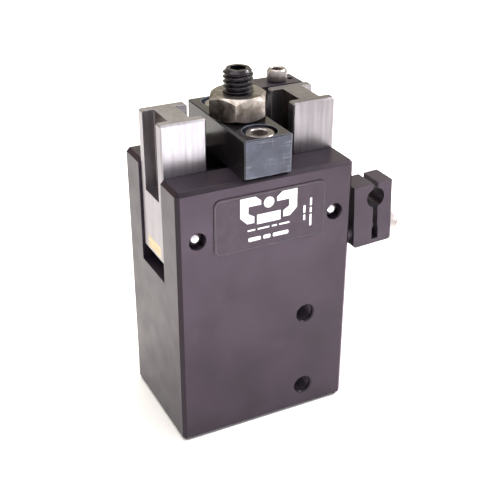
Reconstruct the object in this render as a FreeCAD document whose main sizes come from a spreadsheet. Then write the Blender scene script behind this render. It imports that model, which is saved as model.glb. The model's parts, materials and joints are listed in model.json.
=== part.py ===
import FreeCAD, Part
import math
import os
import re
import Sketcher

# A double-acting angular gripper. A piston in the lower half of the body lifts a
# grooved head, and the head swings two jaws about dowel pins: piston up is open.
# Origin: centre of the body's bottom face. +Z up, ports and nameplate face -Y,
# jaws swing in the XZ plane. All sizes in millimetres, angles in degrees.

SIZES = {
    # body block
    "body_width": 50.8,
    "body_depth": 35.2,
    "body_height": 75.5,
    "body_chamfer": 1.0,
    "edge_break": 0.4,
    "channel_width": 15.4,
    "channel_floor": 46.0,
    "bore_radius": 12.7,
    "bore_top": 36.0,
    # jaws and their pivots
    "jaw_inner": 12.4,
    "jaw_outer": 24.8,
    "jaw_width": 14.9,
    "jaw_bottom": 50.5,
    "jaw_top": 89.5,
    "finger_slot_width": 9.4,
    "finger_slot_deep": 3.3,
    "finger_ledge": 67.9,
    "finger_hole_radius": 1.65,
    "finger_hole_deep": 4.6,
    "finger_hole_low": 74.0,
    "finger_hole_high": 84.0,
    "pivot_across": 19.9,
    "pivot_height": 61.6,
    "pin_radius": 2.38,
    "pin_recess": 1.0,
    "bush_wall": 1.1,
    "running_gap": 0.04,
    "lever_reach": 6.5,
    "lever_tip_radius": 3.0,
    "lever_half_thick": 1.9,
    "lever_width": 14.0,
    "shoe_thick": 1.2,
    "shoe_width": 8.8,
    "shoe_low": 51.6,
    "shoe_high": 54.8,
    # rod head, rod and piston
    "head_half": 10.0,
    "head_width": 14.8,
    "head_bottom": 54.0,
    "head_top": 69.5,
    "head_web": 3.25,
    "groove_gap": 0.05,
    "rod_radius": 4.0,
    "rod_stud_radius": 2.5,
    "rod_stud_top": 66.0,
    "rod_tail_rise": 0.4,
    "rod_tail_chamfer": 0.5,
    "piston_bottom": 11.0,
    "piston_top": 27.0,
    "piston_radius": 12.6,
    "seal_radius": 12.66,
    "seal_wire": 0.73,
    "seal_low": 14.2,
    "seal_high": 24.2,
    "seal_play": 0.1,
    "band_low": 17.6,
    "band_high": 20.4,
    "band_thick": 0.86,
    "tail_radius": 3.0,
    "nut_pocket_radius": 6.5,
    "nut_pocket_deep": 4.2,
    "piston_nut_across": 10.0,
    "piston_nut_thick": 3.4,
    # bulkhead fittings
    "bush_radius": 5.5,
    "gland_radius": 6.6,
    "gland_top": 40.0,
    "retainer_thick": 1.0,
    "retainer_gap": 0.1,
    # end cap
    "cap_bottom": 1.6,
    "cap_top": 5.0,
    "cap_radius": 12.65,
    "cap_boss_radius": 10.7,
    "cap_boss_top": 8.2,
    "cap_groove_low": 2.5,
    "cap_groove_high": 4.1,
    "cap_groove_radius": 11.4,
    "cap_wire": 0.65,
    "bumper_inner": 7.2,
    "bumper_outer": 10.3,
    "bumper_top": 10.0,
    "ring_groove_radius": 13.4,
    "ring_low": 0.5,
    "ring_inner": 10.8,
    "ring_slack": 0.1,
    "ring_side_play": 0.05,
    "ring_gap": 6.0,
    "ring_eye_radius": 0.8,
    "ring_eye_inset": 1.7,
    # air ports and base holes
    "port_across": 12.1,
    "port_low": 7.46,
    "port_high": 31.8,
    "port_radius": 2.5,
    "port_mouth_radius": 2.9,
    "port_deep": 7.0,
    "passage_across": 11.3,
    "passage_radius": 1.2,
    "passage_reach": 4.0,
    "base_across": 20.3,
    "base_along": 12.5,
    "base_hole_radius": 2.1,
    "base_hole_deep": 10.0,
    # bridge, its screws and the stop screw
    "bridge_width": 13.4,
    "bridge_top": 86.0,
    "bridge_screw_along": 12.4,
    "bridge_screw_radius": 2.4,
    "bridge_screw_gap": 0.3,
    "bridge_screw_end": 64.6,
    "bridge_head_radius": 4.25,
    "bridge_head_tall": 5.0,
    "bridge_head_sunk": 0.4,
    "bridge_recess_radius": 4.55,
    "bridge_socket_across": 4.0,
    "bridge_socket_deep": 2.6,
    "stop_radius": 3.95,
    "stop_bore_radius": 4.0,
    "stop_bottom": 72.82,
    "stop_top": 98.8,
    "stop_chamfer": 0.9,
    "stop_socket_across": 4.0,
    "stop_socket_deep": 4.5,
    "nut_across": 14.3,
    "nut_tall": 6.5,
    "nut_chamfer": 1.3,
    "nut_face_share": 0.93,
    "nut_corner_spare": 0.1,
    # nameplate
    "plate_low": 56.0,
    "plate_high": 71.8,
    "plate_left": -15.5,
    "plate_right": 16.9,
    "plate_round": 2.0,
    "plate_thick": 0.25,
    # sensor clamps, in their own frame: x away from the body, z along the clamp
    "clamp_thick": 12.0,
    "clamp_depth": 7.5,
    "clamp_long": 18.3,
    "clamp_break": 0.5,
    "clamp_slot_low": 6.0,
    "clamp_slot_high": 7.6,
    "clamp_relief": 0.2,
    "clamp_relief_top": 5.0,
    "clamp_web": 1.4,
    "clamp_bore_across": 6.8,
    "clamp_bore_along": 14.0,
    "clamp_bore_radius": 2.8,
    "clamp_hole_radius": 1.85,
    "clamp_foot_radius": 2.9,
    "clamp_foot_long": 2.6,
    "clamp_pin_radius": 0.9,
    "clamp_pin_along": 2.4,
    "clamp_screw_radius": 1.7,
    "clamp_screw_bite": 6.5,
    "clamp_head_radius": 2.85,
    "clamp_head_tall": 3.5,
    "clamp_socket_across": 2.8,
    "clamp_socket_deep": 1.8,
    "side_screw_along": 4.1,
    "side_clamp_x": 27.2,
    "side_clamp_y": -13.25,
    "side_clamp_z": 48.3,
    "side_clamp_lean": -2.7,
    "rear_screw_along": 6.5,
    "rear_clamp_x": 25.3,
    "rear_clamp_y": 13.85,
    "rear_clamp_z": 76.7,
    "rear_clamp_lean": -90.0,
}

BEYOND = 5.0  # how far a cutting tool runs past the face that it opens
OVERLAP = 1.0  # how far a solid runs into the one that it joins
STRAIGHT = 1e-6  # how far a direction or a height may be from exact
TURN = {
    "X": FreeCAD.Rotation(FreeCAD.Vector(0, 1, 0), 90),
    "Y": FreeCAD.Rotation(FreeCAD.Vector(1, 0, 0), -90),
    "Z": FreeCAD.Rotation(),
}

doc = FreeCAD.newDocument("gripper")
subparts = []


# ---------------------------------------------------------------- the sheet

def make_sheet():
    """Write the driving dimensions, one row each: word, number."""
    sheet = doc.addObject("Spreadsheet::Sheet", "Dims")
    for row, (word, number) in enumerate(SIZES.items(), start=1):
        sheet.set(f"A{row}", word)
        sheet.set(f"B{row}", str(number))
        sheet.setAlias(f"B{row}", word)
    doc.recompute()


def formula(text):
    """Point each dimension word of a formula at its cell in the sheet."""
    return re.sub(r"[a-z]\w+", lambda word: prefixed(word.group()), str(text))


def prefixed(word):
    return f"Dims.{word}" if word in SIZES else word


def bind(item, **formulas):
    for name, text in formulas.items():
        item.setExpression(name, formula(text))


def place(item, x, y, z):
    for axis, text in zip("xyz", (x, y, z)):
        item.setExpression(f"Placement.Base.{axis}", formula(text))


# ------------------------------------------------------- solids and booleans

def box(name, x, y, z):
    """A box between pairs of formulas, low then high, on each axis."""
    item = doc.addObject("Part::Box", name)
    spans = [f"({high}) - ({low})" for low, high in (x, y, z)]
    bind(item, Length=spans[0], Width=spans[1], Height=spans[2])
    place(item, x[0], y[0], z[0])
    return item


def along(item, axis, centre, start):
    """Turn a solid of revolution to an axis and put its base at start on it."""
    item.Placement = FreeCAD.Placement(FreeCAD.Vector(), TURN[axis])
    spot = list(centre)
    spot.insert("XYZ".index(axis), start)
    place(item, *spot)
    return item


def cylinder(name, axis, centre, span, radius):
    item = doc.addObject("Part::Cylinder", name)
    bind(item, Radius=radius, Height=f"({span[1]}) - ({span[0]})")
    return along(item, axis, centre, span[0])


def cone(name, axis, centre, span, radii):
    item = doc.addObject("Part::Cone", name)
    bind(item, Radius1=radii[0], Radius2=radii[1], Height=f"({span[1]}) - ({span[0]})")
    return along(item, axis, centre, span[0])


def hexagon(name, axis, centre, span, across):
    """A hexagonal prism with the given size across its flats."""
    item = doc.addObject("Part::Prism", name)
    item.Polygon = 6
    bind(item, Circumradius=f"({across}) / sqrt(3)", Height=f"({span[1]}) - ({span[0]})")
    return along(item, axis, centre, span[0])


def torus(name, height, ring_radius, wire_radius):
    item = doc.addObject("Part::Torus", name)
    bind(item, Radius1=ring_radius, Radius2=wire_radius)
    return along(item, "Z", ("0", "0"), height)


def ball(name, centre, radius):
    item = doc.addObject("Part::Sphere", name)
    bind(item, Radius=radius)
    place(item, *centre)
    return item


def fuse(name, *items):
    item = doc.addObject("Part::MultiFuse", name)
    item.Shapes = list(items)
    item.Refine = True
    return item


def cut(name, base, *tools):
    item = doc.addObject("Part::Cut", name)
    item.Base = base
    item.Tool = tools[0] if len(tools) == 1 else fuse(name + "_tools", *tools)
    return item


def common(name, base, tool):
    item = doc.addObject("Part::Common", name)
    item.Base = base
    item.Tool = tool
    return item


def group(name, *items):
    item = doc.addObject("Part::Compound", name)
    item.Links = list(items)
    return item


def mirrored(name, source):
    """The same piece on the other side of the YZ plane."""
    item = doc.addObject("Part::Mirroring", name)
    item.Source = source
    item.Normal = FreeCAD.Vector(1, 0, 0)
    return item


def broken_edges(kind, name, base, size, wanted):
    """Round or chamfer the straight edges whose direction and middle are wanted."""
    doc.recompute()
    item = doc.addObject(f"Part::{kind}", name)
    item.Base = base
    numbers = [n for n, edge in enumerate(base.Shape.Edges, start=1) if wanted(edge)]
    item.Edges = [(n, SIZES[size], SIZES[size]) for n in numbers]
    return item


def runs_along(edge, axis):
    """Whether an edge is straight and parallel to an axis."""
    if not isinstance(edge.Curve, Part.Line):
        return False
    return abs(abs(edge.Curve.Direction["XYZ".index(axis)]) - 1) < STRAIGHT


# ----------------------------------------------------------- sketched bodies

def outline(body, name, role, points):
    """A closed outline in one of a body's own planes, with every corner on the sheet."""
    sketch = body.newObject("Sketcher::SketchObject", name)
    plane = next(item for item in body.Origin.OriginFeatures if item.Role == role)
    sketch.AttachmentSupport = [(plane, "")]
    sketch.MapMode = "FlatFace"
    count = len(points)
    angles = [2 * math.pi * n / count for n in range(count)]
    ring = [FreeCAD.Vector(math.cos(angle), math.sin(angle), 0) for angle in angles]
    for n in range(count):
        sketch.addGeometry(Part.LineSegment(ring[n], ring[(n + 1) % count]))
    for n in range(count):
        sketch.addConstraint(Sketcher.Constraint("Coincident", n, 2, (n + 1) % count, 1))
    for n, corner in enumerate(points):
        for kind, start, text in zip(("DistanceX", "DistanceY"), ring[n], corner):
            number = sketch.addConstraint(Sketcher.Constraint(kind, -1, 1, n, 1, start))
            sketch.setExpression(f"Constraints[{number}]", formula(text))
    return sketch


def turned(name, points):
    """A body turned about Z from an outline of (radius, height) corners."""
    body = doc.addObject("PartDesign::Body", name)
    sketch = outline(body, name + "_profile", "XZ_Plane", points)
    feature = body.newObject("PartDesign::Revolution", name + "_turned")
    feature.Profile = (sketch, [""])
    feature.ReferenceAxis = (sketch, ["V_Axis"])
    feature.Angle = 360
    return body


def ring_of(name, inner, outer, low, high):
    """A plain turned ring."""
    return turned(name, [(inner, low), (outer, low), (outer, high), (inner, high)])


def milled(name, points, thick):
    """A body padded both ways from the XZ plane, from an outline of (x, z) corners."""
    body = doc.addObject("PartDesign::Body", name)
    sketch = outline(body, name + "_outline", "XZ_Plane", points)
    feature = body.newObject("PartDesign::Pad", name + "_pad")
    feature.Profile = (sketch, [""])
    feature.Midplane = True
    bind(feature, Length=thick)
    return body


def keep(label, item):
    """Name a finished sub-part after its node."""
    item.Label = label
    subparts.append(item)
    return item


# -------------------------------------------------------------- body and cap

def body_space(name):
    """The plain block that the body is machined from."""
    half_width = "body_width / 2"
    half_depth = "body_depth / 2"
    return box(name, (f"-{half_width}", half_width), (f"-{half_depth}", half_depth), ("0", "body_height"))


def make_body():
    half_width = "body_width / 2"
    half_channel = "channel_width / 2"
    blank = body_space("body_blank")
    eased = broken_edges("Chamfer", "body_eased", blank, "body_chamfer", lambda edge: True)
    across = (f"-{half_width} - {BEYOND}", f"{half_width} + {BEYOND}")
    upward = ("channel_floor", f"body_height + {BEYOND}")
    through_bush = (f"gland_top - {OVERLAP}", f"channel_floor + {OVERLAP}")
    tools = [
        box("channel", across, (f"-{half_channel}", half_channel), upward),
        cylinder("piston_bore", "Z", ("0", "0"), (f"-{BEYOND}", "bore_top"), "bore_radius"),
        cylinder("ring_groove", "Z", ("0", "0"), ("ring_low", "cap_bottom"), "ring_groove_radius"),
        cylinder("gland_bore", "Z", ("0", "0"), (f"bore_top - {OVERLAP}", "gland_top"), "gland_radius"),
        cylinder("bush_bore", "Z", ("0", "0"), through_bush, "bush_radius"),
    ]
    tools += pivot_holes() + port_tools() + base_holes() + bridge_tapped_holes() + clamp_tapped_holes()
    keep("body_block", cut("body_machined", eased, *tools))


def pivot_holes():
    span = (f"-body_depth / 2 - {BEYOND}", f"body_depth / 2 + {BEYOND}")
    return [
        cylinder(f"pivot_hole_{n}", "Y", (f"{side} * pivot_across", "pivot_height"), span, "pin_radius")
        for n, side in enumerate((-1, 1))
    ]


def port_tools():
    """Each air port is a tapped hole with a countersunk mouth and a small drilled passage."""
    tools = []
    face = "-body_depth / 2"
    for name, height in (("low", "port_low"), ("high", "port_high")):
        centre = ("port_across", height)
        floor = f"{face} + port_deep"
        sink = f"{face} + (port_mouth_radius - port_radius)"
        tools.append(cylinder(f"port_{name}", "Y", centre, (f"{face} - {BEYOND}", floor), "port_radius"))
        tools.append(cone(f"mouth_{name}", "Y", centre, (face, sink), ("port_mouth_radius", "port_radius")))
        way = ("passage_across", height)
        inward = (f"{floor} - {OVERLAP}", "-passage_reach")
        tools.append(cylinder(f"passage_{name}", "Y", way, inward, "passage_radius"))
    return tools


def base_holes():
    """Four tapped holes in the corners of the bottom face."""
    spots = [(across, deep) for across in (-1, 1) for deep in (-1, 1)]
    return [
        cylinder(
            f"base_hole_{n}", "Z", (f"{across} * base_across", f"{deep} * base_along"),
            (f"-{BEYOND}", "base_hole_deep"), "base_hole_radius",
        )
        for n, (across, deep) in enumerate(spots)
    ]


def bridge_tapped_holes():
    return [
        cylinder(
            f"bridge_tapped_{n}", "Z", ("0", f"{side} * bridge_screw_along"),
            (f"bridge_screw_end - {OVERLAP}", f"body_height + {BEYOND}"), "bridge_screw_radius",
        )
        for n, side in enumerate((-1, 1))
    ]


def clamp_tapped_holes():
    return [
        clamp_screw_tool(name)
        for name in ("side", "rear")
    ]


def make_pins():
    """Dowel pins with round ends, sunk a little into the front and rear faces."""
    shank_end = "body_depth / 2 - pin_recess - pin_radius"
    for name, side in (("left_pivot_pin", -1), ("right_pivot_pin", 1)):
        across = f"{side} * pivot_across"
        shank = (f"-({shank_end})", shank_end)
        keep(name, fuse(
            name,
            cylinder(name + "_shank", "Y", (across, "pivot_height"), shank, "pin_radius"),
            ball(name + "_front", (across, shank[0], "pivot_height"), "pin_radius"),
            ball(name + "_back", (across, shank[1], "pivot_height"), "pin_radius"),
        ))


def make_end_cap():
    """The round cap that closes the bore, its O-ring, bumper and snap ring."""
    keep("end_cap", turned("end_cap", [
        ("0", "cap_bottom"), ("cap_radius", "cap_bottom"), ("cap_radius", "cap_groove_low"),
        ("cap_groove_radius", "cap_groove_low"), ("cap_groove_radius", "cap_groove_high"),
        ("cap_radius", "cap_groove_high"), ("cap_radius", "cap_top"), ("cap_boss_radius", "cap_top"),
        ("cap_boss_radius", "cap_boss_top"), ("0", "cap_boss_top"),
    ]))
    middle = "(cap_groove_low + cap_groove_high) / 2"
    keep("end_cap_seal", torus("end_cap_seal", middle, "bore_radius - cap_wire", "cap_wire"))
    keep("end_bumper", ring_of("end_bumper", "bumper_inner", "bumper_outer", "cap_boss_top", "bumper_top"))
    outer = "ring_groove_radius - ring_slack"
    span = ("ring_low + ring_side_play", "cap_bottom - ring_side_play")
    whole = ring_of("ring_blank", "ring_inner", outer, *span)
    height = ("0", "cap_top")
    front = f"-ring_groove_radius - {BEYOND}"
    gap = box("ring_opening", ("-ring_gap / 2", "ring_gap / 2"), (front, "0"), height)
    eyes = []
    for n, side in enumerate((-1, 1)):
        spot = (f"{side} * (ring_gap / 2 + ring_eye_inset)", "-(ring_inner + ring_groove_radius) / 2")
        eyes.append(cylinder(f"ring_eye_{n}", "Z", spot, height, "ring_eye_radius"))
    keep("retaining_ring", cut("retaining_ring", whole, gap, *eyes))


def make_bulkhead_fittings():
    """Bronze bush above, rod seal and its steel retainer below it."""
    inner = "rod_radius + running_gap"
    keep("rod_bushing", ring_of("rod_bushing", inner, "bush_radius", "gland_top", "channel_floor"))
    keep("rod_seal", ring_of("rod_seal", inner, "gland_radius", "bore_top + retainer_thick", "gland_top"))
    retainer_top = "bore_top + retainer_thick"
    keep("seal_retainer", ring_of(
        "seal_retainer", "rod_radius + retainer_gap", "gland_radius", "bore_top", retainer_top,
    ))


# ------------------------------------------------------------------- piston

def make_piston():
    groove = "seal_radius - 2 * seal_wire"
    band = "seal_radius - band_thick"
    pocket_floor = "piston_bottom + nut_pocket_deep"
    corners = [("tail_radius", pocket_floor), ("nut_pocket_radius", pocket_floor)]
    corners += [("nut_pocket_radius", "piston_bottom"), ("piston_radius", "piston_bottom")]
    grooves = [
        ("seal_low - seal_wire - seal_play", "seal_low + seal_wire + seal_play", groove),
        ("band_low", "band_high", band),
        ("seal_high - seal_wire - seal_play", "seal_high + seal_wire + seal_play", groove),
    ]
    for low, high, floor in grooves:
        corners += [("piston_radius", low), (floor, low), (floor, high), ("piston_radius", high)]
    corners += [("piston_radius", "piston_top"), ("tail_radius", "piston_top")]
    keep("piston", turned("piston", corners))
    keep("piston_seals", group("piston_seals", *[
        torus(f"piston_seal_{n}", height, "seal_radius - seal_wire", "seal_wire")
        for n, height in enumerate(("seal_low", "seal_high"))
    ]))
    keep("piston_wear_ring", ring_of("piston_wear_ring", band, "seal_radius", "band_low", "band_high"))
    span = (f"{pocket_floor} - piston_nut_thick", pocket_floor)
    hexagonal = hexagon("nut_blank", "Z", ("0", "0"), span, "piston_nut_across")
    hole = cylinder("nut_hole", "Z", ("0", "0"), ("0", "piston_top"), "tail_radius")
    keep("piston_nut", cut("piston_nut", hexagonal, hole))


def make_rod():
    """The rod is shouldered at both ends: a tail in the piston and a stud in the head."""
    tail_end = "piston_bottom + rod_tail_rise"
    keep("piston_rod", turned("piston_rod", [
        ("0", tail_end), ("tail_radius - rod_tail_chamfer", tail_end),
        ("tail_radius", f"{tail_end} + rod_tail_chamfer"),
        ("tail_radius", "piston_top"), ("rod_radius", "piston_top"), ("rod_radius", "head_bottom"),
        ("rod_stud_radius", "head_bottom"), ("rod_stud_radius", "rod_stud_top"), ("0", "rod_stud_top"),
    ]))


def make_rod_head():
    """A block with a groove in each side for the jaw levers' round tips."""
    low = "pivot_height - lever_tip_radius - groove_gap"
    high = "pivot_height + lever_tip_radius + groove_gap"
    spool = milled("rod_head_spool", [
        ("-head_half", "head_bottom"), ("head_half", "head_bottom"), ("head_half", low), ("head_web", low),
        ("head_web", high), ("head_half", high), ("head_half", "head_top"), ("-head_half", "head_top"),
        ("-head_half", high), ("-head_web", high), ("-head_web", low), ("-head_half", low),
    ], "head_width")
    stud_span = (f"head_bottom - {OVERLAP}", "rod_stud_top")
    stud_hole = cylinder("stud_hole", "Z", ("0", "0"), stud_span, "rod_stud_radius")
    keep("rod_head", cut("rod_head", spool, stud_hole))


# --------------------------------------------------------------------- jaws

def make_jaws():
    """The left jaw with its bush and shoe, and the same three pieces mirrored."""
    left = {"jaw": jaw_solid(), "jaw_bushing": jaw_bushing(), "jaw_shoe": jaw_shoe("jaw_shoe")}
    for name, item in left.items():
        keep(f"left_{name}", item)
        keep(f"right_{name}", mirrored(f"right_{name}", item))


def jaw_solid():
    """An upright H-shaped arm with a round-tipped lever pointing inwards."""
    half = "jaw_width / 2"
    arm = box("jaw_arm", ("-jaw_outer", "-jaw_inner"), (f"-{half}", half), ("jaw_bottom", "jaw_top"))
    eased = broken_edges("Chamfer", "jaw_eased", arm, "edge_break", lambda edge: True)
    reach = (f"-jaw_inner - {OVERLAP}", "-lever_reach")
    width = ("-lever_width / 2", "lever_width / 2")
    thick = ("pivot_height - lever_half_thick", "pivot_height + lever_half_thick")
    lever = box("lever", reach, width, thick)
    tip = cylinder("lever_tip", "Y", ("-lever_reach", "pivot_height"), width, "lever_tip_radius")
    slot_width = ("-finger_slot_width / 2", "finger_slot_width / 2")
    slot_height = ("finger_ledge", f"jaw_top + {BEYOND}")
    inner_floor = "-jaw_inner - finger_slot_deep"
    outer_floor = "-jaw_outer + finger_slot_deep"
    through = (f"-{half} - {BEYOND}", f"{half} + {BEYOND}")
    tools = [
        box("outer_slot", (f"-jaw_outer - {BEYOND}", outer_floor), slot_width, slot_height),
        box("inner_slot", (inner_floor, f"-jaw_inner + {BEYOND}"), slot_width, slot_height),
        cylinder(
            "bush_seat", "Y", ("-pivot_across", "pivot_height"), through, "pin_radius + bush_wall",
        ),
        jaw_shoe("shoe_pocket"),
    ]
    for name in ("finger_hole_low", "finger_hole_high"):
        span = (f"{inner_floor} - finger_hole_deep", inner_floor)
        tools.append(cylinder(f"{name}_tool", "X", ("0", name), span, "finger_hole_radius"))
    return cut("left_jaw", fuse("jaw_blank", eased, lever, tip), *tools)


def jaw_bushing():
    half = "jaw_width / 2"
    centre = ("-pivot_across", "pivot_height")
    sleeve = cylinder("bush_sleeve", "Y", centre, (f"-{half}", half), "pin_radius + bush_wall")
    through = (f"-{half} - {BEYOND}", f"{half} + {BEYOND}")
    hole = cylinder("bush_hole", "Y", centre, through, "pin_radius + running_gap")
    return cut("left_jaw_bushing", sleeve, hole)


def jaw_shoe(name):
    """A bronze strip let into the heel of the jaw's outer face."""
    half = "shoe_width / 2"
    deep = ("-jaw_outer", "-jaw_outer + shoe_thick")
    return box(name, deep, (f"-{half}", half), ("shoe_low", "shoe_high"))


# ----------------------------------------------- bridge, stop screw and nuts

def make_bridge():
    half = "bridge_width / 2"
    half_depth = "body_depth / 2"
    height = ("body_height", "bridge_top")
    blank = box("bridge_blank", (f"-{half}", half), (f"-{half_depth}", half_depth), height)
    eased = broken_edges("Chamfer", "bridge_eased", blank, "edge_break", lambda edge: True)
    through = (f"body_height - {BEYOND}", f"bridge_top + {BEYOND}")
    seat = "bridge_top - bridge_head_sunk - bridge_head_tall"
    tools = [cylinder("stop_bore", "Z", ("0", "0"), through, "stop_bore_radius")]
    for n, side in enumerate((-1, 1)):
        centre = ("0", f"{side} * bridge_screw_along")
        hole_radius = "bridge_screw_radius + bridge_screw_gap"
        tools.append(cylinder(f"bridge_hole_{n}", "Z", centre, through, hole_radius))
        tools.append(cylinder(f"bridge_recess_{n}", "Z", centre, (seat, through[1]), "bridge_recess_radius"))
    keep("bridge", cut("bridge", eased, *tools))
    screws = [bridge_screw(n, seat, side) for n, side in enumerate((-1, 1))]
    keep("bridge_screws", group("bridge_screws", *screws))


def bridge_screw(number, seat, side):
    centre = ("0", f"{side} * bridge_screw_along")
    names = [f"{word}_{number}" for word in ("screw_head", "screw_shank", "screw_socket", "cap_screw")]
    top = f"{seat} + bridge_head_tall"
    head = cylinder(names[0], "Z", centre, (seat, top), "bridge_head_radius")
    inside = ("bridge_screw_end", f"{seat} + {OVERLAP}")
    shank = cylinder(names[1], "Z", centre, inside, "bridge_screw_radius")
    socket_span = (f"{top} - bridge_socket_deep", f"{top} + {BEYOND}")
    socket = hexagon(names[2], "Z", centre, socket_span, "bridge_socket_across")
    return cut(names[3], fuse(names[3] + "_blank", head, shank), socket)


def make_stop_screw():
    edge = "stop_radius - stop_chamfer"
    blank = turned("stop_screw_blank", [
        ("0", "stop_bottom"), (edge, "stop_bottom"), ("stop_radius", "stop_bottom + stop_chamfer"),
        ("stop_radius", "stop_top - stop_chamfer"), (edge, "stop_top"), ("0", "stop_top"),
    ])
    span = ("stop_top - stop_socket_deep", f"stop_top + {BEYOND}")
    socket = hexagon("stop_socket", "Z", ("0", "0"), span, "stop_socket_across")
    keep("stop_screw", cut("stop_screw", blank, socket))


def make_lock_nut():
    """A hexagon nut whose corners are cut back by a cone at both ends."""
    top = "bridge_top + nut_tall"
    corner = "nut_across / sqrt(3) + nut_corner_spare"
    flat = "nut_face_share * nut_across / 2"
    hexagonal = hexagon("lock_nut_blank", "Z", ("0", "0"), ("bridge_top", top), "nut_across")
    cones = turned("lock_nut_cones", [
        ("0", "bridge_top"), (flat, "bridge_top"), (corner, "bridge_top + nut_chamfer"),
        (corner, f"{top} - nut_chamfer"), (flat, top), ("0", top),
    ])
    through = (f"bridge_top - {BEYOND}", f"{top} + {BEYOND}")
    hole = cylinder("lock_nut_hole", "Z", ("0", "0"), through, "stop_bore_radius")
    keep("lock_nut", cut("lock_nut", common("lock_nut_shape", hexagonal, cones), hole))


def make_nameplate():
    face = "-body_depth / 2"
    thickness = (f"{face} - plate_thick", face)
    plate = box("plate_blank", ("plate_left", "plate_right"), thickness, ("plate_low", "plate_high"))
    rounded = broken_edges("Fillet", "nameplate", plate, "plate_round", lambda edge: runs_along(edge, "Y"))
    keep("nameplate", rounded)


# ------------------------------------------------------------ sensor clamps

def seat_clamp(item, name):
    """Carry a piece from the clamp's own frame to its place on the body."""
    turn = FreeCAD.Rotation(FreeCAD.Vector(0, 1, 0), SIZES[f"{name}_clamp_lean"])
    item.Placement = FreeCAD.Placement(FreeCAD.Vector(), turn)
    place(item, f"{name}_clamp_x", f"{name}_clamp_y", f"{name}_clamp_z")
    return item


def clamp_screw_tool(name):
    """The tapped hole for a clamp's screw, in the body's frame."""
    deep = f"-clamp_foot_long - clamp_screw_bite - {OVERLAP}"
    spot = ("0", f"{name}_screw_along")
    rod = cylinder(f"{name}_tapped_rod", "X", spot, (deep, f"{OVERLAP}"), "clamp_screw_radius")
    return seat_clamp(group(f"{name}_tapped", rod), name)


def make_clamp(name, side_of_body, extra_hole):
    """A keyhole clamp: a split block that pinches a round sensor, on a short round foot."""
    low = "clamp_slot_low"
    high = "clamp_slot_high"
    relief = "clamp_relief_top"
    block = milled(f"{name}_clamp_block", [
        ("clamp_break", "0"), ("clamp_thick - clamp_break", "0"), ("clamp_thick", "clamp_break"),
        ("clamp_thick", "clamp_long"), (high, "clamp_long"), (high, relief),
        (f"{high} + clamp_relief", relief),
        (f"{high} + clamp_relief", "clamp_web"), (f"{low} - clamp_relief", "clamp_web"),
        (f"{low} - clamp_relief", relief), (low, relief), (low, "clamp_long"), ("0", "clamp_long"),
        ("0", "clamp_break"),
    ], "clamp_depth")
    screw_spot = ("0", f"{name}_screw_along")
    foot_span = ("-clamp_foot_long", "clamp_break")
    foot = cylinder(f"{name}_foot", "X", screw_spot, foot_span, "clamp_foot_radius")
    bore_spot = ("clamp_bore_across", "clamp_bore_along")
    reach = (f"-clamp_depth / 2 - {BEYOND}", f"clamp_depth / 2 + {BEYOND}")
    through = (f"-clamp_foot_long - {BEYOND}", f"clamp_thick + {BEYOND}")
    tools = [
        cylinder(f"{name}_sensor_bore", "Y", bore_spot, reach, "clamp_bore_radius"),
        cylinder(f"{name}_screw_hole", "X", screw_spot, through, "clamp_hole_radius"),
    ]
    if extra_hole:
        span = (high, f"clamp_thick + {BEYOND}")
        tools.append(cylinder(f"{name}_pin_hole", "X", ("0", "clamp_pin_along"), span, "clamp_pin_radius"))
    clamp = cut(f"{name}_clamp_cut", fuse(f"{name}_clamp_solid", block, foot), *tools)
    keep(f"{name}_sensor_clamp", cut(f"{name}_sensor_clamp", seat_clamp(clamp, name), side_of_body))


def make_clamp_screw(name):
    """A socket screw that closes the clamp and holds it to the body."""
    spot = ("0", f"{name}_screw_along")
    top = "clamp_thick + clamp_head_tall"
    head = cylinder(f"{name}_screw_head", "X", spot, ("clamp_thick", top), "clamp_head_radius")
    span = ("-clamp_foot_long - clamp_screw_bite", f"clamp_thick + {OVERLAP}")
    shank = cylinder(f"{name}_screw_shank", "X", spot, span, "clamp_screw_radius")
    socket_span = (f"{top} - clamp_socket_deep", f"{top} + {BEYOND}")
    socket = hexagon(f"{name}_screw_socket", "X", spot, socket_span, "clamp_socket_across")
    screw = cut(f"{name}_clamp_screw", fuse(f"{name}_screw_blank", head, shank), socket)
    keep(f"{name}_clamp_screw", seat_clamp(screw, name))


def make_clamps():
    """One clamp hangs on the right side, the other lies on the rear wall's top."""
    for name, extra_hole in (("side", False), ("rear", True)):
        make_clamp(name, body_space(f"{name}_body_space"), extra_hole)
        make_clamp_screw(name)


# ------------------------------------------------------------------- output

def check_document():
    """Stop if any feature failed or any finished solid is missing or broken."""
    for item in doc.Objects:
        if "Invalid" in item.State or "Error" in item.State:
            raise RuntimeError(f"{item.Name} failed: {item.State}")
    for item in subparts:
        if item.Shape.isNull() or not item.Shape.isValid():
            raise RuntimeError(f"{item.Label} has no sound shape")
        if not item.Shape.Solids or item.Shape.Volume <= 0:
            raise RuntimeError(f"{item.Label} is not a solid")


def write_parts():
    os.makedirs("parts", exist_ok=True)
    for item in subparts:
        item.Shape.exportStep(f"parts/{item.Label}.step")
        print(f"{item.Label}: {len(item.Shape.Solids)} solid(s), {item.Shape.Volume:.1f} mm3")


make_sheet()
make_body()
make_pins()
make_end_cap()
make_bulkhead_fittings()
make_piston()
make_rod()
make_rod_head()
make_jaws()
make_bridge()
make_stop_screw()
make_lock_nut()
make_nameplate()
make_clamps()
doc.recompute()
check_document()
write_parts()
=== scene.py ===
import json
import math

import bmesh
import bpy
from mathutils import Matrix, Vector


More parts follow.
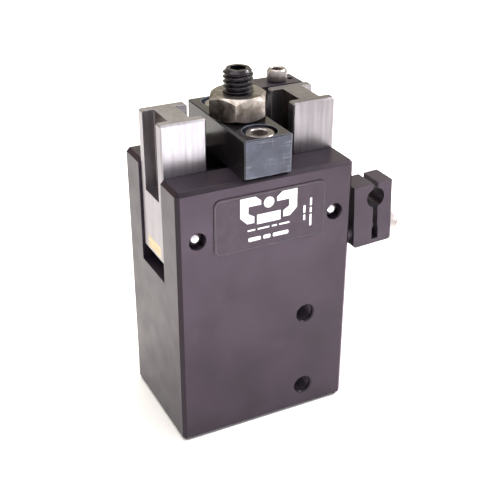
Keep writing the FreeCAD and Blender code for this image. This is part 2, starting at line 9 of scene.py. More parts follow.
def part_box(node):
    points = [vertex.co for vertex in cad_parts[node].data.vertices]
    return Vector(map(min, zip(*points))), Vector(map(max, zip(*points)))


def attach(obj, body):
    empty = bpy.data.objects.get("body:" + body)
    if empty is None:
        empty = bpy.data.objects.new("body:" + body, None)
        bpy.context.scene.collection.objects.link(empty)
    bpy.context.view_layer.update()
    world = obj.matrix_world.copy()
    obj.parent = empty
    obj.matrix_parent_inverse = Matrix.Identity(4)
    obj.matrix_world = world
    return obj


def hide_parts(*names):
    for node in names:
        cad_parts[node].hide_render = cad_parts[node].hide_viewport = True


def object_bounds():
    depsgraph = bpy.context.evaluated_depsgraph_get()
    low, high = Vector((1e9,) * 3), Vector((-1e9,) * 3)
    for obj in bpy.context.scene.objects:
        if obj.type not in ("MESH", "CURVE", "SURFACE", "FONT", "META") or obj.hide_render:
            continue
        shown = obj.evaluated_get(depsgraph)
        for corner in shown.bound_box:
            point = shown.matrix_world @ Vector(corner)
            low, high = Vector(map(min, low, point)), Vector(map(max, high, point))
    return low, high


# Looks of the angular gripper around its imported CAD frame.
# Sizes of meshes and of material grain are in millimetres. Lights and the camera are in metres.

MM = 0.001
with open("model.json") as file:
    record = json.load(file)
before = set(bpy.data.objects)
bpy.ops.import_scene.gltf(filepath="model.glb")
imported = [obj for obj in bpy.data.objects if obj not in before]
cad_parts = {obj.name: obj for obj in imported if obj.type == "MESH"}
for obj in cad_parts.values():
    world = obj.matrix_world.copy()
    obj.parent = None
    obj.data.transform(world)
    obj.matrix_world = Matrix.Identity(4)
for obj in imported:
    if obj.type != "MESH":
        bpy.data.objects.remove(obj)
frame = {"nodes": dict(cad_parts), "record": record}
nodes = frame["nodes"]
cad_low, cad_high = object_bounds()


def box_mm(node):
    """Lowest and highest corner of a CAD node, in millimetres."""
    low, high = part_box(node)
    return low / MM, high / MM


def reach_mm(node, direction):
    """How far a CAD node reaches along a direction, lowest and highest, in millimetres."""
    spans = [vertex.co.dot(direction) / MM for vertex in nodes[node].data.vertices]
    return min(spans), max(spans)


# ------------------------------------------------------------------ materials

class Finish:
    """A node material, with short ways to add the textures that the gripper needs."""

    def __init__(self, name, roughness, metallic=0.0):
        self.material = bpy.data.materials.new(name)
        self.material.use_nodes = True
        self.tree = self.material.node_tree
        self.shader = self.tree.nodes["Principled BSDF"]
        self.shader.inputs["Roughness"].default_value = roughness
        self.shader.inputs["Metallic"].default_value = metallic
        coordinates = self.tree.nodes.new("ShaderNodeTexCoord")
        self.place = coordinates.outputs["Object"]
        self.facing = coordinates.outputs["Normal"]

    def link(self, source, node, socket):
        """Feed a socket with a number or with another node's output."""
        if isinstance(source, (int, float, tuple)):
            node.inputs[socket].default_value = source
        else:
            self.tree.links.new(source, node.inputs[socket])

    def noise(self, grain, detail=3.0, stretch=(1, 1, 1), warp=0.0):
        """Noise with grains of about this size, drawn out along an axis by stretch."""
        mapping = self.tree.nodes.new("ShaderNodeMapping")
        mapping.inputs["Scale"].default_value = [1 / (grain * MM * by) for by in stretch]
        self.link(self.place, mapping, "Vector")
        node = self.tree.nodes.new("ShaderNodeTexNoise")
        node.inputs["Scale"].default_value = 1.0
        node.inputs["Detail"].default_value = detail
        node.inputs["Distortion"].default_value = warp
        self.link(mapping.outputs[0], node, "Vector")
        return node.outputs["Fac"]

    def rings(self, spacing):
        """Turning marks: fine rings about the Z axis."""
        mapping = self.tree.nodes.new("ShaderNodeMapping")
        mapping.inputs["Scale"].default_value = (1 / (spacing * MM),) * 3
        self.link(self.place, mapping, "Vector")
        node = self.tree.nodes.new("ShaderNodeTexWave")
        node.wave_type = "RINGS"
        node.rings_direction = "Z"
        node.inputs["Scale"].default_value = 1.0
        node.inputs["Distortion"].default_value = 0.6
        self.link(mapping.outputs[0], node, "Vector")
        return node.outputs["Fac"]

    def spread(self, value, low, high, to_low=0.0, to_high=1.0):
        """Stretch a value from one range to another, and clamp it."""
        node = self.tree.nodes.new("ShaderNodeMapRange")
        for socket, amount in enumerate((value, low, high, to_low, to_high)):
            self.link(amount, node, socket)
        return node.outputs[0]

    def maths(self, operation, *values):
        node = self.tree.nodes.new("ShaderNodeMath")
        node.operation = operation
        for socket, value in enumerate(values):
            self.link(value, node, socket)
        return node.outputs[0]

    def product(self, first, *others):
        for other in others:
            first = self.maths("MULTIPLY", first, other)
        return first

    def average(self, first, second, share=0.5):
        """Two values added up, the first with this share."""
        return self.maths("ADD", self.product(first, share), self.product(second, 1 - share))

    def sizes(self, vector):
        """A vector's three parts, without their signs."""
        parts = self.tree.nodes.new("ShaderNodeSeparateXYZ")
        self.link(vector, parts, 0)
        return [self.maths("ABSOLUTE", part) for part in parts.outputs]

    def blend(self, amount, first, second):
        """Colours mixed by an amount from 0 to 1."""
        node = self.tree.nodes.new("ShaderNodeMix")
        node.data_type = "RGBA"
        colour_a, colour_b = [socket for socket in node.inputs if socket.type == "RGBA"]
        self.link(amount, node, 0)
        for source, socket in ((first, colour_a), (second, colour_b)):
            if isinstance(source, tuple):
                socket.default_value = (*source, 1.0)
            else:
                self.tree.links.new(source, socket)
        return next(socket for socket in node.outputs if socket.type == "RGBA")

    def soft_edges(self, radius):
        """The surface's normal with its edges rounded by a small radius."""
        node = self.tree.nodes.new("ShaderNodeBevel")
        node.samples = 6
        node.inputs["Radius"].default_value = radius * MM
        return node.outputs[0]

    def edge_mask(self, radius):
        """Near 1 along outer and inner edges, where handling wears a surface."""
        flat = self.tree.nodes.new("ShaderNodeNewGeometry")
        node = self.tree.nodes.new("ShaderNodeVectorMath")
        node.operation = "DOT_PRODUCT"
        self.link(self.soft_edges(radius), node, 0)
        self.link(flat.outputs["Normal"], node, 1)
        return self.spread(node.outputs["Value"], 0.99, 0.86)

    def slanted(self):
        """1 on chamfers and in holes, 0 on faces square to the axes."""
        x, y, z = self.sizes(self.facing)
        squarest = self.maths("MAXIMUM", self.maths("MAXIMUM", x, y), z)
        return self.spread(squarest, 0.9, 0.8)

    def colour(self, source):
        self.link(source, self.shader, "Base Color")

    def rubbed_colour(self, tone, bright, amount):
        """A colour that brightens along the edges by an amount."""
        self.colour(self.blend(self.product(self.edge_mask(0.3), amount), tone, bright))

    def gloss(self, value, low, high):
        """Roughness that varies between two amounts."""
        self.link(self.spread(value, 0.3, 0.7, low, high), self.shader, "Roughness")

    def relief(self, height, depth, edge=0.15):
        """Bump of a given depth, over edges rounded by a radius, or left as they are at 0."""
        node = self.tree.nodes.new("ShaderNodeBump")
        node.inputs["Distance"].default_value = depth * MM
        node.inputs["Strength"].default_value = 1.0
        self.link(height, node, "Height")
        if edge:
            self.link(self.soft_edges(edge), node, "Normal")
        self.link(node.outputs[0], self.shader, "Normal")


VIOLET = (1.0, 0.80, 1.0, 1.0)
# Painted shade, laid on the chamfers and in the holes of anodised parts.
HOLE_AND_CHAMFER_SHADE = (0.030, 0.025, 0.030)
# Painted shade, laid on the jaw's web in its finger slots.
SLOT_PAINTED_SHADE = (0.085, 0.062, 0.055)
UPRIGHT = (1, 1, 60)
LEVEL = (60, 60, 1)
CROSSWISE = (1, 60, 60)


def brighter(colour, times, lift=0.0):
    return tuple(min(1.0, times * part + lift) for part in colour)


def anodised(name, dark, pale, worn, roughness, edge=0.22):
    """Dyed anodised aluminium: mottled dye, a fine etched grain, worn edges, painted shade on chamfers and in
    holes.
    """
    finish = Finish(name, roughness[0])
    finish.shader.inputs["Specular IOR Level"].default_value = 0.34
    finish.shader.inputs["Specular Tint"].default_value = VIOLET
    cloud = finish.spread(finish.noise(16, 4.0, warp=0.5), 0.35, 0.65)
    fleck = finish.spread(finish.noise(0.5, 2.0), 0.3, 0.8, 0.0, 0.2)
    patches = finish.spread(finish.noise(3), 0.4, 0.7)
    dye = finish.blend(cloud, dark, pale)
    dye = finish.blend(fleck, dye, brighter(pale, 0.75))
    dye = finish.blend(finish.product(finish.edge_mask(0.5), patches, 0.3), dye, worn)
    # Painted shade: chamfers and hole walls are painted near black, far darker than bare cut aluminium, so
    # holes read dark.
    cut = finish.slanted()
    finish.colour(finish.blend(cut, dye, HOLE_AND_CHAMFER_SHADE))
    finish.link(finish.product(cut, 0.9), finish.shader, "Metallic")
    finish.gloss(finish.noise(6, 5.0), *roughness)
    finish.relief(finish.noise(0.6, 2.0), 0.003, edge)
    return finish.material


def ground_steel(name, dark, pale, stretch, roughness, depth=0.004, edge_gain=1.12, shade_in_slots=None):
    """Steel with the fine straight scratches of a grinding wheel, drawn out along an axis."""
    finish = Finish(name, roughness[0], metallic=1.0)
    grain = finish.noise(0.22, 2.0, stretch)
    streak = finish.noise(1.1, 3.0, tuple(max(1, by / 4) for by in stretch))
    cloud = finish.noise(11)
    tone = finish.blend(finish.spread(finish.average(streak, cloud, 0.6), 0.36, 0.62), dark, pale)
    bright = brighter(pale, edge_gain)
    if shade_in_slots:
        worn = finish.blend(finish.product(finish.edge_mask(0.3), 0.6), tone, bright)
        # Painted shade: the slot mask lays a dull brown over the web in the finger slots.
        finish.colour(finish.blend(shade_in_slots(finish), worn, SLOT_PAINTED_SHADE))
    else:
        finish.rubbed_colour(tone, bright, 0.6)
    finish.gloss(finish.average(grain, cloud), *roughness)
    finish.relief(grain, depth)
    return finish.material


def slot_shade_mask(finish):
    """1 on the jaw's web at the bottom of its finger slots, where shade is painted, and 0 on the ground faces
    around it.
    """
    openings = {item["name"]: item["box_m"] for item in frame["record"]["physics"]["openings"]}
    outer = openings["right_outer_finger_slot"]
    inner = openings["right_inner_finger_slot"]
    middle = (outer[0][0] + inner[1][0]) / 2
    half_thick = (outer[0][0] - inner[1][0]) / 2 + 0.3 * MM
    half_wide = outer[1][1] + 0.1 * MM
    bottom = outer[0][2] - 0.2 * MM
    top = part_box("left_jaw")[1].z - 0.1 * MM
    x, y, z = finish.sizes(finish.place)
    off_middle = finish.maths("ABSOLUTE", finish.maths("SUBTRACT", x, middle))
    return finish.product(
        finish.maths("LESS_THAN", off_middle, half_thick), finish.maths("LESS_THAN", y, half_wide),
        finish.maths("GREATER_THAN", z, bottom), finish.maths("LESS_THAN", z, top))


def jaw_steel(name, dark, pale):
    """Ground faces with an upright grain, and painted shade, a dull brown, on the web in the finger slots."""
    return ground_steel(name, dark, pale, UPRIGHT, (0.3, 0.44), 0.005, 1.35, slot_shade_mask)


def blued_steel(name):
    """The bridge: smooth black sides, and ends painted a lighter blue as painted light, which are rubbed and
    scratched.
    """
    finish = Finish(name, 0.4, metallic=0.3)
    # Painted light: faces across Y are painted a lighter blue than the black sides, for the brightness of
    # their lighting.
    ends_painted_lit = finish.spread(finish.sizes(finish.facing)[1], 0.6, 0.8)
    cloud = finish.spread(finish.noise(7, 4.0, warp=0.8), 0.35, 0.66)
    black = finish.blend(cloud, (0.007, 0.006, 0.007), (0.014, 0.012, 0.013))
    blue = finish.blend(cloud, (0.014, 0.016, 0.026), (0.036, 0.041, 0.066))
    tone = finish.blend(ends_painted_lit, black, blue)
    slant = finish.spread(finish.noise(0.4, 2.0, (1, 1, 22), warp=0.35), 0.55, 0.7)
    level = finish.spread(finish.noise(0.5, 2.0, (26, 26, 1), warp=0.3), 0.55, 0.7)
    patches = finish.spread(finish.noise(4), 0.4, 0.6)
    on_ends = finish.spread(ends_painted_lit, 0.0, 1.0, 0.25, 1.0)
    scuffs = finish.product(finish.maths("MAXIMUM", slant, level), patches, on_ends)
    rubbed = finish.maths("MAXIMUM", finish.product(scuffs, 0.55), finish.edge_mask(0.45))
    finish.colour(finish.blend(finish.product(rubbed, 0.7), tone, (0.22, 0.23, 0.28)))
    smooth = finish.spread(finish.noise(3, 4.0), 0.3, 0.7, 0.14, 0.22)
    finish.link(finish.maths("ADD", smooth, finish.product(ends_painted_lit, 0.2)), finish.shader, "Roughness")
    finish.relief(finish.maths("SUBTRACT", finish.noise(0.5), scuffs), 0.01, 0.2)
    return finish.material


def plated(name, dark, pale, roughness, grain=0.6, depth=0.008, metallic=1.0):
    """Plated or oiled steel: cloudy coating over a slightly pitted surface, bright on the edges."""
    finish = Finish(name, roughness[0], metallic=metallic)
    cloud = finish.spread(finish.noise(2.4, 4.0, warp=0.6), 0.36, 0.64)
    finish.rubbed_colour(finish.blend(cloud, dark, pale), brighter(pale, 1.5, 0.02), 0.45)
    finish.gloss(finish.noise(1.8, 4.0), *roughness)
    finish.relief(finish.noise(grain), depth, 0.12)
    return finish.material


def turned_metal(name, dark, pale, roughness):
    """Lathe-turned metal with fine rings about the bore axis."""
    finish = Finish(name, roughness[0], metallic=1.0)
    ring = finish.rings(0.22)
    cloud = finish.spread(finish.noise(4), 0.36, 0.64)
    finish.colour(finish.blend(finish.average(ring, cloud), dark, pale))
    finish.gloss(finish.noise(2), *roughness)
    finish.relief(ring, 0.005)
    return finish.material


def moulded(name, dark, pale, roughness, grain=0.4, tint=(1.0, 1.0, 1.0, 1.0)):
    """Rubber, plastic, printed film or ink: slight colour drift over a fine grain."""
    finish = Finish(name, roughness[0])
    finish.shader.inputs["Specular IOR Level"].default_value = 0.36
    finish.shader.inputs["Specular Tint"].default_value = tint
    finish.colour(finish.blend(finish.spread(finish.noise(3, 4.0), 0.35, 0.65), dark, pale))
    finish.gloss(finish.noise(2), *roughness)
    finish.relief(finish.noise(grain, 2.0), 0.012, 0.1)
    return finish.material


finishes = {
    "black_anodised": anodised(
        "anodised_body", (0.012, 0.0088, 0.0125), (0.026, 0.019, 0.027), (0.085, 0.075, 0.085),
        (0.29, 0.38)),
    "clamp_black": anodised(
        "anodised_clamp", (0.014, 0.011, 0.015), (0.028, 0.022, 0.030), (0.12, 0.11, 0.12),
        (0.29, 0.42), 0.15),
    "zinc_steel": plated("zinc_plate", (0.24, 0.215, 0.205), (0.42, 0.385, 0.375), (0.29, 0.38)),
    "nut_steel": plated("dull_zinc", (0.13, 0.108, 0.088), (0.31, 0.28, 0.265), (0.29, 0.44), 0.5, 0.014),
    "hard_steel": ground_steel(
        "bright_ground", (0.66, 0.65, 0.66), (0.88, 0.87, 0.88), CROSSWISE, (0.14, 0.26)),
    "jaw_steel": jaw_steel("jaw_ground", (0.265, 0.25, 0.272), (0.375, 0.355, 0.38)),
    "dark_steel": ground_steel("machined_head", (0.16, 0.155, 0.16), (0.30, 0.29, 0.30), LEVEL, (0.3, 0.42)),
    "black_oxide": plated(
        "oiled_oxide", (0.010, 0.008, 0.010), (0.026, 0.022, 0.027), (0.2, 0.34), metallic=0.7),
    "plain_aluminium": turned_metal(
        "turned_aluminium", (0.52, 0.52, 0.53), (0.78, 0.78, 0.79), (0.26, 0.38)),
    "black_rubber": moulded("nitrile", (0.018, 0.018, 0.018), (0.034, 0.033, 0.032), (0.5, 0.68)),
    "wear_plastic": moulded("filled_ptfe", (0.60, 0.55, 0.44), (0.80, 0.76, 0.66), (0.36, 0.5)),
    "bronze": ground_steel("bearing_bronze", (0.36, 0.27, 0.13), (0.56, 0.45, 0.27), LEVEL, (0.24, 0.38)),
    "label_film": moulded(
        "charcoal_film", (0.012, 0.009, 0.012), (0.020, 0.015, 0.020), (0.3, 0.42), tint=VIOLET),
}
own_finishes = {
    "bridge": blued_steel("blued_bridge"),
    # Painted shade: the right jaw takes a darker copy of the jaw finish, for the lighting it lay in.
    "right_jaw": jaw_steel("jaw_ground_painted_shade", (0.18, 0.168, 0.18), (0.255, 0.24, 0.255)),
}
white_ink = moulded("white_ink", (0.74, 0.73, 0.74), (0.86, 0.85, 0.86), (0.42, 0.55), grain=0.3)
grey_ink = moulded("grey_ink", (0.045, 0.039, 0.044), (0.065, 0.058, 0.064), (0.42, 0.55), grain=0.3)


def dress_cad():
    """Give every CAD node its own finish, or else the one of its material slot."""
    for part in frame["record"]["subparts"]:
        material = own_finishes.get(part["node"], finishes[part["material_slot"]])
        mesh = nodes[part["node"]].data
        mesh.materials.clear()
        mesh.materials.append(material)


# -------------------------------------------------------------- mesh building

def make_piece(name, bm, material, body, slot, *replaced, sharp=30, matrix=None):
    """Finish a mesh built in millimetres and let it ride on a CAD body."""
    bmesh.ops.remove_doubles(bm, verts=bm.verts, dist=0.0005)
    bmesh.ops.recalc_face_normals(bm, faces=bm.faces)
    if matrix:
        bm.transform(matrix)
    bm.transform(Matrix.Scale(MM, 4))
    mesh = bpy.data.meshes.new(name)
    bm.to_mesh(mesh)
    bm.free()
    mesh.materials.append(material)
    mesh.shade_smooth()
    mesh.set_sharp_from_angle(angle=math.radians(sharp))
    piece = bpy.data.objects.new(name, mesh)
    bpy.context.scene.collection.objects.link(piece)
    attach(piece, body)
    if replaced:
        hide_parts(*replaced)
    return piece


def ring(bm, radii, height):
    """A closed loop of vertices about Z, one for each radius."""
    step = 2 * math.pi / len(radii)
    return [
        bm.verts.new((radius * math.cos(n * step), radius * math.sin(n * step), height))
        for n, radius in enumerate(radii)
    ]


def bridge_loops(bm, first, second):
    for n in range(len(first)):
        after = (n + 1) % len(first)
        bm.faces.new((first[n], first[after], second[after], second[n]))


def loop_edges(bm, loop):
    """The edges round a loop of vertices, made where they are missing."""
    found = []
    for n, vertex in enumerate(loop):
        other = loop[(n + 1) % len(loop)]
        found.append(bm.edges.get((vertex, other)) or bm.edges.new((vertex, other)))
    return found


def broach(bm, rim, across, height, deep):
    """Close a round rim with a face that has a hexagonal socket sunk into it."""
    corner = across / math.sqrt(3)
    tip_deep = 0.3 * across
    mouth = ring(bm, [corner] * 6, height)
    bmesh.ops.triangle_fill(bm, use_beauty=True, use_dissolve=False, edges=rim + loop_edges(bm, mouth))
    floor = ring(bm, [corner] * 6, height - deep)
    bridge_loops(bm, mouth, floor)
    drill_tip = bm.verts.new((0, 0, height - deep - tip_deep))
    for n in range(6):
        bm.faces.new((floor[n], floor[(n + 1) % 6], drill_tip))


def helical_skin(bm, low, high, pitch, profile, segments, limit):
    """A thread's surface, from a profile of (share of the pitch, radius) pairs, cut off square."""
    turns = math.ceil((high - low) / pitch) + 2
    columns = []
    for n in range(segments):
        angle = 2 * math.pi * n / segments
        column = []
        for turn in range(turns + 1):
            for share, radius in profile:
                height = low - pitch + pitch * (turn + share + n / segments)
                trimmed = min(radius, limit(height))
                column.append(bm.verts.new((trimmed * math.cos(angle), trimmed * math.sin(angle), height)))
        columns.append(column)
    for n, column in enumerate(columns):
        wraps = n == segments - 1
        beside = columns[0][len(profile):] if wraps else columns[n + 1]
        for m in range(min(len(column), len(beside)) - 1):
            bm.faces.new((column[m], beside[m], beside[m + 1], column[m + 1]))
    for height, way in ((low, -1), (high, 1)):
        everything = bm.verts[:] + bm.edges[:] + bm.faces[:]
        bmesh.ops.bisect_plane(
            bm, geom=everything, plane_co=(0, 0, height), plane_no=(0, 0, way), clear_outer=True, dist=1e-5)


def rim_at(bm, height):
    """The open edges of a mesh that lie at one height."""
    return [
        edge for edge in bm.edges
        if edge.is_boundary and all(abs(vertex.co.z - height) < 1e-3 for vertex in edge.verts)
    ]


def make_stop_screw():
    """The travel stop: a full-length thread with chamfered ends and a hexagonal socket."""
    pitch = 1.25
    thread_deep = 0.70
    chamfer = 0.9
    socket_across = 4.0
    socket_deep = 4.5
    low, high = box_mm("stop_screw")
    major = high.x
    minor = major - thread_deep
    flank = (major + minor) / 2
    profile = [(0.0, minor), (0.14, minor), (0.32, flank), (0.48, major), (0.62, major), (0.81, flank)]

    def within_ends(height):
        return major - chamfer + max(0.0, min(height - low.z, high.z - height))

    bm = bmesh.new()
    helical_skin(bm, low.z, high.z, pitch, profile, 96, within_ends)
    bmesh.ops.remove_doubles(bm, verts=bm.verts, dist=1e-4)
    broach(bm, rim_at(bm, high.z), socket_across, high.z, socket_deep)
    bmesh.ops.triangle_fill(bm, use_beauty=True, use_dissolve=False, edges=rim_at(bm, low.z))
    make_piece("stop_screw_threaded", bm, finishes["black_oxide"], "travel_stop", "black_oxide", "stop_screw")


def cap_screw(bm, head_radius, head_tall, across, socket_deep, shank_radius, shank_long):
    """A socket head cap screw standing on Z = 0, with a straight knurl round its head."""
    count = 120
    groove = 0.045 * head_radius
    ease = 0.09 * head_tall
    knurl_top = 0.80 * head_tall
    plain = head_radius - groove
    tip_radius = 0.8 * shank_radius
    tip_chamfer = 0.3 * shank_radius
    knurled = [head_radius if n % 2 else plain for n in range(count)]
    tip = ring(bm, [tip_radius] * count, -shank_long)
    loops = [
        tip,
        ring(bm, [shank_radius] * count, -shank_long + tip_chamfer),
        ring(bm, [shank_radius] * count, 0),
        ring(bm, [plain - ease] * count, 0),
        ring(bm, [plain] * count, ease),
        ring(bm, knurled, 1.6 * ease),
        ring(bm, knurled, knurl_top),
        ring(bm, [plain] * count, knurl_top + 0.6 * ease),
        ring(bm, [plain - 0.2 * ease] * count, head_tall - ease),
        ring(bm, [plain - 1.3 * ease] * count, head_tall),
    ]
    for first, second in zip(loops, loops[1:]):
        bridge_loops(bm, first, second)
    bm.faces.new(tip)
    sink = 0.15
    mouth_radius = across / math.sqrt(3) + sink
    lip = ring(bm, [mouth_radius + sink] * count, head_tall)
    bridge_loops(bm, loops[-1], lip)
    throat = ring(bm, [mouth_radius] * count, head_tall - sink)
    bridge_loops(bm, lip, throat)
    broach(bm, loop_edges(bm, throat), across, head_tall - sink, socket_deep - sink)


def make_bridge_screws():
    """The bridge's two cap screws, sunk in their recesses."""
    low, high = box_mm("bridge_screws")
    radius = high.x
    tall = 5.0
    socket_across = 4.0
    socket_deep = 2.6
    shank_radius = 2.35
    bm = bmesh.new()
    for side in (-1, 1):
        part = bmesh.new()
        cap_screw(part, radius, tall, socket_across, socket_deep, shank_radius, high.z - tall - low.z)
        bmesh.ops.remove_doubles(part, verts=part.verts, dist=0.0005)
        part.transform(Matrix.Translation((0, side * (high.y - radius), high.z - tall)))
        mesh = bpy.data.meshes.new("cap_screw_copy")
        part.to_mesh(mesh)
        part.free()
        bm.from_mesh(mesh)
        bpy.data.meshes.remove(mesh)
    make_piece("bridge_cap_screws", bm, finishes["zinc_steel"], "housing", "zinc_steel", "bridge_screws")


def make_clamp_screws():
    """Each sensor clamp's screw, along its own leaning axis."""
    head_radius = 2.85
    head_tall = 3.5
    socket_across = 2.8
    socket_deep = 1.8
    shank_radius = 1.65
    for name, lean in (("side", -2.7), ("rear", -90.0)):
        node = f"{name}_clamp_screw"
        turn = Matrix.Rotation(math.radians(lean), 3, "Y")
        outwards = turn @ Vector((1, 0, 0))
        lengthwise = turn @ Vector((0, 0, 1))
        tip, top = reach_mm(node, outwards)
        low, high = box_mm(node)
        seat = outwards * (top - head_tall)
        seat += lengthwise * (sum(reach_mm(node, lengthwise)) / 2)
        seat.y = (low.y + high.y) / 2
        bm = bmesh.new()
        shank_long = top - head_tall - tip
        cap_screw(bm, head_radius, head_tall, socket_across, socket_deep, shank_radius, shank_long)
        upright = outwards.to_track_quat("Z", "Y").to_matrix().to_4x4()
        matrix = Matrix.Translation(seat) @ upright
        make_piece(
            f"{name}_socket_screw", bm, finishes["zinc_steel"], "housing", "zinc_steel", node, matrix=matrix)


def make_port_threads():
    """The female thread inside each air port: a ridge that winds in from the mouth."""
    root = 2.53
    crest = 2.1
    pitch = 0.8
    turns = 7
    steps = 40
    mouth_deep = 0.35
    half_foot = 0.36
    half_crest = 0.07
    section = ((root, -half_foot), (crest, -half_crest), (crest, half_crest), (root, half_foot))
    face = box_mm("body_block")[0].y
    for name in ("air_port_open", "air_port_close"):
        mount = next(item for item in frame["record"]["mounts"] if item["name"] == name)
        across, height = mount["pos_m"][0] / MM, mount["pos_m"][2] / MM
        bm = bmesh.new()
        rows = []
        for n in range(turns * steps + 1):
            angle = 2 * math.pi * n / steps
            grown = min(1.0, n / steps, (turns * steps - n) / steps)
            depth = face + mouth_deep + half_foot + pitch * n / steps
            row = []
            for out, along in section:
                reach = root - grown * (root - out)
                spot = (across + reach * math.cos(angle), depth + along, height + reach * math.sin(angle))
                row.append(bm.verts.new(spot))
            rows.append(row)
        for first, second in zip(rows, rows[1:]):
            bridge_loops(bm, first, second)
        bm.faces.new(rows[0])
        bm.faces.new(rows[-1])
        make_piece(f"{name}_thread", bm, finishes["clamp_black"], "housing", "black_anodised", sharp=40)


# ------------------------------------------------------------------ nameplate

def slab(bm, points, back, front):
    """A flat shape given by (x, z) corners, between two depths along Y."""
    rear = [bm.verts.new((x, back, z)) for x, z in points]
    fore = [bm.verts.new((x, front, z)) for x, z in points]
    bridge_loops(bm, rear, fore)
    bm.faces.new(rear)
    bm.faces.new(fore)


def rounded_outline(left, right, bottom, top, radius):
    """Corners of a rounded rectangle, eight steps to each quarter turn."""
    steps = 8
    centres = ((right - radius, top - radius), (left + radius, top - radius),
               (left + radius, bottom + radius), (right - radius, bottom + radius))
    points = []
    for quarter, (x, z) in enumerate(centres):
        for n in range(steps + 1):
            angle = math.pi / 2 * (quarter + n / steps)
            points.append((x + radius * math.cos(angle), z + radius * math.sin(angle)))
    return points


def make_label_print():
    """Raised ink on the nameplate: a border, a plain picture of two jaws and bars for small print."""
    low, high = box_mm("nameplate")
    sunk = 0.02
    raised = 0.03
    back = low.y + sunk
    front = low.y - raised
    line = 0.2
    inset = 0.35
    corner = 1.7
    bm = bmesh.new()
    outer = rounded_outline(low.x + inset, high.x - inset, low.z + inset, high.z - inset, corner)
    far = inset + line
    inner = rounded_outline(low.x + far, high.x - far, low.z + far, high.z - far, corner - line)
    loops = [[bm.verts.new((x, y, z)) for x, z in points]
             for points, y in ((outer, back), (outer, front), (inner, front), (inner, back))]
    for n, loop in enumerate(loops):
        bridge_loops(bm, loop, loops[(n + 1) % len(loops)])
    make_piece("label_border", bm, grey_ink, "housing", "label_film", sharp=20)

    left_shift = 0.7
    picture_rise = 7.0
    centre_x = (low.x + high.x) / 2 - left_shift
    base = low.z + picture_rise
    bm = bmesh.new()
    body = [(-3.4, 0), (3.4, 0), (3.4, 2.7), (-3.4, 2.7)]
    finger = [(4.2, 0.6), (6.2, 0.6), (8.2, 2.6), (8.2, 7.9), (3.9, 7.9), (2.3, 6.6), (2.3, 5.4), (5.9, 5.4),
              (5.9, 3.4), (4.2, 2.4)]
    work_radius = 1.5
    work_rise = 5.6
    turns = [math.pi * n / 12 for n in range(24)]
    work = [(work_radius * math.cos(turn), work_rise + work_radius * math.sin(turn)) for turn in turns]
    mirrored = [(-x, z) for x, z in reversed(finger)]
    for shape in (body, finger, mirrored, work):
        slab(bm, [(centre_x + x, base + z) for x, z in shape], back, front)
    make_piece("label_picture", bm, white_ink, "housing", "label_film", sharp=20)

    bm = bmesh.new()
    thin = 0.45
    bold = 1.1
    gap = 0.7
    upright_wide = 0.6
    upright_gap = 0.5
    rows = ((base - 1.6, thin, (2.2, 3.4, 1.5, 3.0)), (base - 4.6, bold, (3.6, 2.1, 4.6)))
    for bottom, tall, lengths in rows:
        start = centre_x - (sum(lengths) + gap * (len(lengths) - 1)) / 2
        for length in lengths:
            slab(bm, rounded_outline(start, start + length, bottom, bottom + tall, tall / 3), back, front)
            start += length + gap
    columns = ((high.x - 6.7, low.z + 5.2, (1.6, 2.2)), (high.x - 4.8, low.z + 3.2, (3.4, 1.5, 2.2)))
    for left, bottom, lengths in columns:
        for length in lengths:
            bar = rounded_outline(left, left + upright_wide, bottom, bottom + length, 0.3 * upright_wide)
            slab(bm, bar, back, front)
            bottom += length + upright_gap
    make_piece("label_bars", bm, white_ink, "housing", "label_film", sharp=20)


# ------------------------------------------------------ stage, lights, camera

def make_floor():
    finish = Finish("pale_floor", 0.75)
    tone = finish.spread(finish.noise(120, 2.0), 0.3, 0.7)
    finish.colour(finish.blend(tone, (0.87, 0.855, 0.825), (0.89, 0.878, 0.85)))
    finish.relief(finish.noise(4, 2.0), 0.01, edge=0)
    half = 3.0
    level = -0.05 * MM
    mesh = bpy.data.meshes.new("floor")
    corners = [(x, y, level) for x, y in ((-half, -half), (half, -half), (half, half), (-half, half))]
    mesh.from_pydata(corners, [], [(0, 1, 2, 3)])
    mesh.materials.append(finish.material)
    floor = bpy.data.objects.new("floor", mesh)
    bpy.context.scene.collection.objects.link(floor)


def make_light(name, direction, distance, size, power, colour):
    """A square soft box that points at the gripper's middle."""
    light = bpy.data.lights.new(name, "AREA")
    light.size = size
    light.energy = power
    light.color = colour
    lamp = bpy.data.objects.new(name, light)
    middle = (cad_low + cad_high) / 2
    towards = Vector(direction).normalized()
    lamp.location = middle + towards * distance
    lamp.rotation_mode = "QUATERNION"
    lamp.rotation_quaternion = towards.to_track_quat("Z", "Y")
    bpy.context.scene.collection.objects.link(lamp)


def make_pool():
    """A soft spot straight down on the floor in front, which the front faces mirror."""
    in_front = 0.175
    light = bpy.data.lights.new("pool", "SPOT")
    light.energy = 48.0
    light.color = (0.90, 0.92, 1.0)
    light.spot_size = math.radians(34)
    light.spot_blend = 1.0
    light.shadow_soft_size = 0.05
    lamp = bpy.data.objects.new("pool", light)
    lamp.location = (0.02, cad_low.y - in_front, 0.5)
    bpy.context.scene.collection.objects.link(lamp)


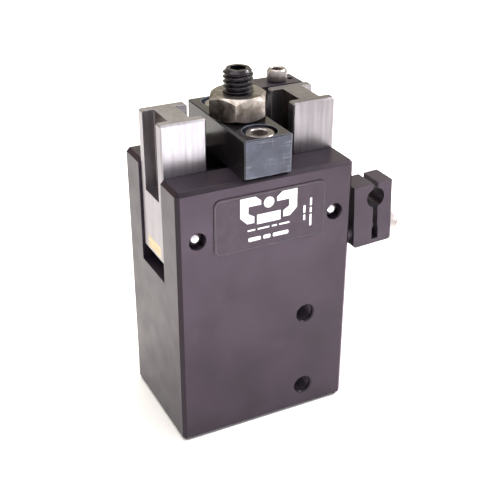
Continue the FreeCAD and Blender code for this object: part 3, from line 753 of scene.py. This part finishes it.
def make_world():
    """A dim room: cool white in front of the gripper, olive grey behind it."""
    world = bpy.data.worlds.new("studio")
    world.use_nodes = True
    tree = world.node_tree
    background = tree.nodes["Background"]
    direction = tree.nodes.new("ShaderNodeTexCoord").outputs["Generated"]
    parts = tree.nodes.new("ShaderNodeSeparateXYZ")
    tree.links.new(direction, parts.inputs[0])
    ramp = tree.nodes.new("ShaderNodeValToRGB")
    shift = tree.nodes.new("ShaderNodeMapRange")
    shift.inputs["From Min"].default_value = -1.0
    tree.links.new(parts.outputs["Y"], shift.inputs["Value"])
    tree.links.new(shift.outputs[0], ramp.inputs[0])
    ramp.color_ramp.elements[0].position = 0.25
    ramp.color_ramp.elements[0].color = (1.35, 1.32, 1.42, 1)
    ramp.color_ramp.elements[1].position = 0.8
    ramp.color_ramp.elements[1].color = (1.05, 0.99, 0.80, 1)
    tree.links.new(ramp.outputs[0], background.inputs["Color"])
    background.inputs["Strength"].default_value = 0.8
    bpy.context.scene.world = world


def make_camera():
    """A view from above the gripper's front left, a quarter of a metre away."""
    place = (-0.1025, -0.20905, 0.17125)
    azimuth = math.radians(-26.93)
    elevation = math.radians(28.25)
    roll = math.radians(0.303)
    level = math.cos(elevation)
    back = Vector((level * math.sin(azimuth), -level * math.cos(azimuth), math.sin(elevation)))
    right = Vector((math.cos(azimuth), math.sin(azimuth), 0))
    above = back.cross(right)
    rolled_right = right * math.cos(roll) + above * math.sin(roll)
    rolled_above = above * math.cos(roll) - right * math.sin(roll)
    lens = bpy.data.cameras.new("camera")
    lens.lens = 67.83
    lens.sensor_width = 36
    lens.clip_start = 0.01
    camera = bpy.data.objects.new("camera", lens)
    axes = Matrix((rolled_right, rolled_above, back)).transposed()
    camera.matrix_world = Matrix.Translation(place) @ axes.to_4x4()
    bpy.context.scene.collection.objects.link(camera)
    bpy.context.scene.camera = camera


make_camera()
make_floor()
make_world()
make_light("key", (0.75, -0.15, 0.62), 1.2, 0.2, 18.0, (1.0, 0.985, 0.96))
make_light("overhead", (-0.1, 0.15, 1.0), 1.4, 1.3, 21.0, (1.0, 0.98, 0.97))
make_pool()
bpy.context.scene.view_settings.view_transform = "Standard"

dress_cad()
make_stop_screw()
make_bridge_screws()
make_clamp_screws()
make_port_threads()
make_label_print()
